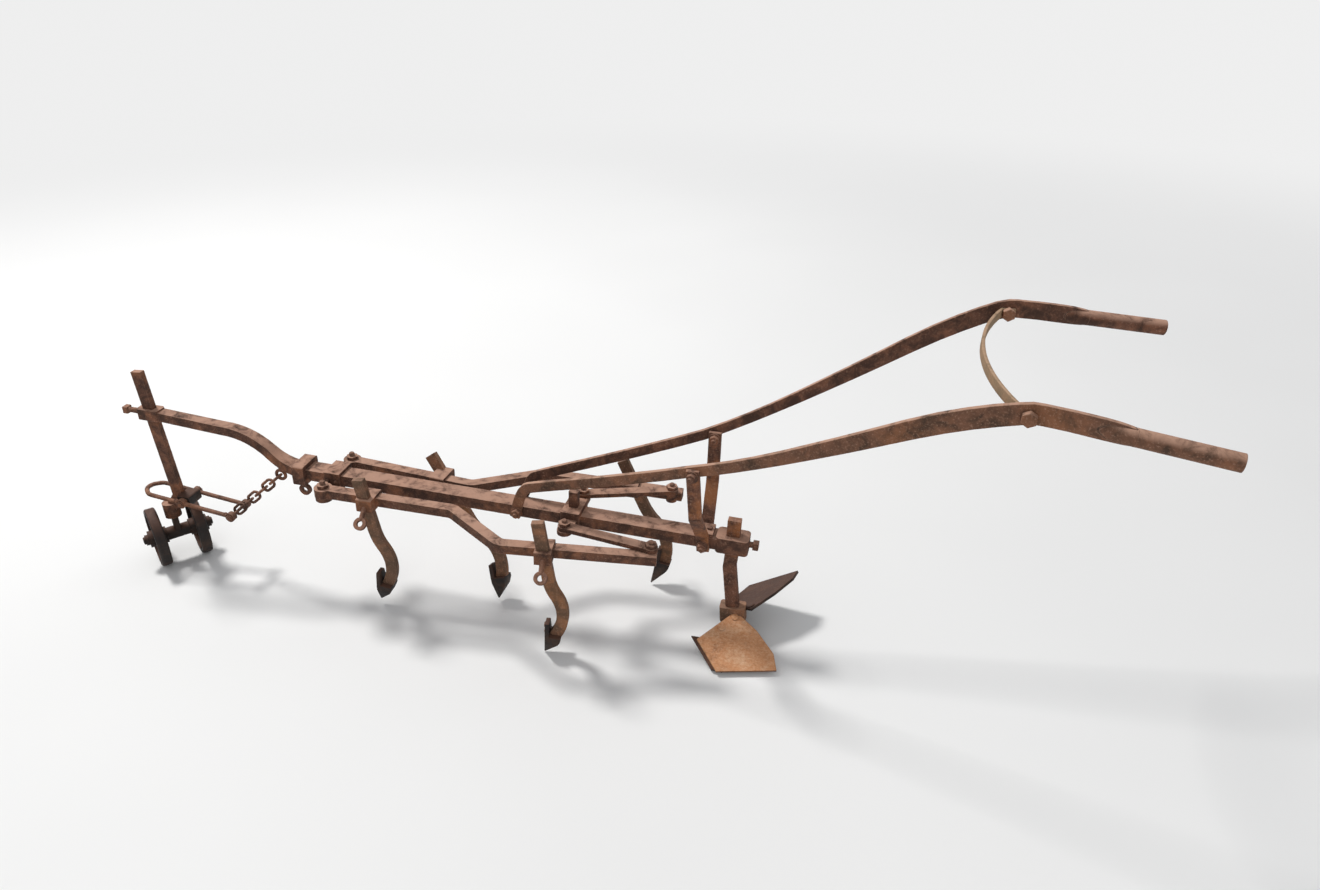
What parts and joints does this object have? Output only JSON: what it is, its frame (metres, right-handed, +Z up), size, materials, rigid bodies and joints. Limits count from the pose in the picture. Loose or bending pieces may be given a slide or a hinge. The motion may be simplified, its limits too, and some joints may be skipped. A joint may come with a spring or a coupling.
{
  "type": "ridging hoe",
  "caption": "Horse-drawn ridging hoe: beam on a swivelling wheel foot, cranked side arms with clamped tines, winged ridging body behind and long handles joined by a hoop.",
  "frame": {"origin": "on the ground, under the middle of the machine's length and on its middle plane", "axes": "+X the way of travel, +Y the machine's left side, +Z up"},
  "size_m": [2.4284, 0.6098, 0.7812],
  "materials": {
    "brown_rust": "rusted, dull",
    "orange_rust": "bright rust, dull",
    "dull_rust": "rusted, dull",
    "dark_iron": "dark, worn",
    "dark_cast": "dark, worn"
  },
  "bodies": {
    "frame": {"chain_hook": "dull_rust", "collar_eye_screw": "brown_rust", "cross_plate": "brown_rust", "front_collar": "brown_rust", "front_set_screw": "brown_rust", "handle_hoop": "brown_rust", "left_grip": "brown_rust", "left_handle": "brown_rust", "left_upright": "brown_rust", "left_wing": "orange_rust", "main_beam": "brown_rust", "rear_set_screw": "brown_rust", "ridger_frog": "dark_iron", "ridger_shank": "brown_rust", "ridger_shares": "dark_iron", "right_grip": "brown_rust", "right_handle": "brown_rust", "right_upright": "brown_rust", "right_wing": "orange_rust", "upright_saddle": "brown_rust"},
    "standard": {"wheel_standard": "brown_rust", "bail_block": "dark_iron"},
    "foot": {"wheel_yoke": "brown_rust", "wheel_axle": "brown_rust"},
    "wheels": {"left_wheel": "dark_cast", "right_wheel": "dark_cast"},
    "bail": {"draft_bail": "dull_rust"},
    "chain": {"draft_chain": "dull_rust"},
    "spreader": {"spreader_collar": "brown_rust"},
    "left_link": {"left_link": "brown_rust"},
    "right_link": {"right_link": "brown_rust"},
    "left_arm": {"left_arm": "brown_rust", "left_eye_screws": "brown_rust", "left_front_point": "dark_iron", "left_front_tine": "brown_rust", "left_rear_point": "dark_iron", "left_rear_tine": "brown_rust", "left_tine_clamps": "brown_rust"},
    "right_arm": {"right_arm": "brown_rust", "right_eye_screws": "brown_rust", "right_front_point": "dark_iron", "right_front_tine": "brown_rust", "right_rear_point": "dark_iron", "right_rear_tine": "brown_rust", "right_tine_clamps": "brown_rust"}
  },
  "joints": [
    {"name": "standard_slide", "type": "slide", "parent": "frame", "child": "standard", "axis": [0.0506, 0, 0.9987], "range_m": [-0.03, 0.04]},
    {"name": "foot_swivel", "type": "hinge", "parent": "standard", "child": "foot", "pos_m": [1.111, 0, 0.14], "axis": [0, 0, 1], "continuous": true},
    {"name": "wheels_spin", "type": "hinge", "parent": "foot", "child": "wheels", "pos_m": [1.11251, -0.00131, 0.078], "axis": [0.6561, 0.7547, 0], "continuous": true},
    {"name": "bail_pivot", "type": "hinge", "parent": "standard", "child": "bail", "pos_m": [1.04579, 0, 0.191], "axis": [0, 1, 0], "range_deg": [-14, 14]},
    {"name": "chain_swing", "type": "hinge", "parent": "frame", "child": "chain", "pos_m": [0.75928, 0, 0.29468], "axis": [0, 1, 0], "range_deg": [-6, 6]},
    {"name": "left_arm_swing", "type": "hinge", "parent": "frame", "child": "left_arm", "pos_m": [0.60025, 0.07, 0.3094], "axis": [-0.0541, 0, 0.9985], "range_deg": [-1.8, 1.8]},
    {"name": "right_arm_swing", "type": "hinge", "parent": "frame", "child": "right_arm", "pos_m": [0.60025, -0.07, 0.3094], "axis": [-0.0541, 0, 0.9985], "range_deg": [-1.5, 1.5]},
    {"name": "spreader_slide", "type": "slide", "parent": "frame", "child": "spreader", "axis": [0.9985, 0, 0.0541], "range_m": [-0.004, 0.004]},
    {"name": "left_link_swing", "type": "hinge", "parent": "spreader", "child": "left_link", "pos_m": [0.0042, 0.072, 0.29414], "axis": [-0.0541, 0, 0.9985], "range_deg": [-7.2, 7.2]},
    {"name": "right_link_swing", "type": "hinge", "parent": "spreader", "child": "right_link", "pos_m": [0.0042, -0.072, 0.29414], "axis": [-0.0541, 0, 0.9985], "range_deg": [-7.2, 7.2]}
  ],
  "couplings": [
    {"joint": "chain_swing", "follows": "standard_slide", "rad_per_m": -1.583},
    {"joint": "bail_pivot", "follows": "standard_slide", "rad_per_m": -5.6025},
    {"joint": "right_arm_swing", "follows": "left_arm_swing", "ratio": -0.8},
    {"joint": "spreader_slide", "follows": "left_arm_swing", "m_per_rad": 0.12},
    {"joint": "left_link_swing", "follows": "left_arm_swing", "ratio": 3.88},
    {"joint": "right_link_swing", "follows": "left_arm_swing", "ratio": -3.08}
  ]
}
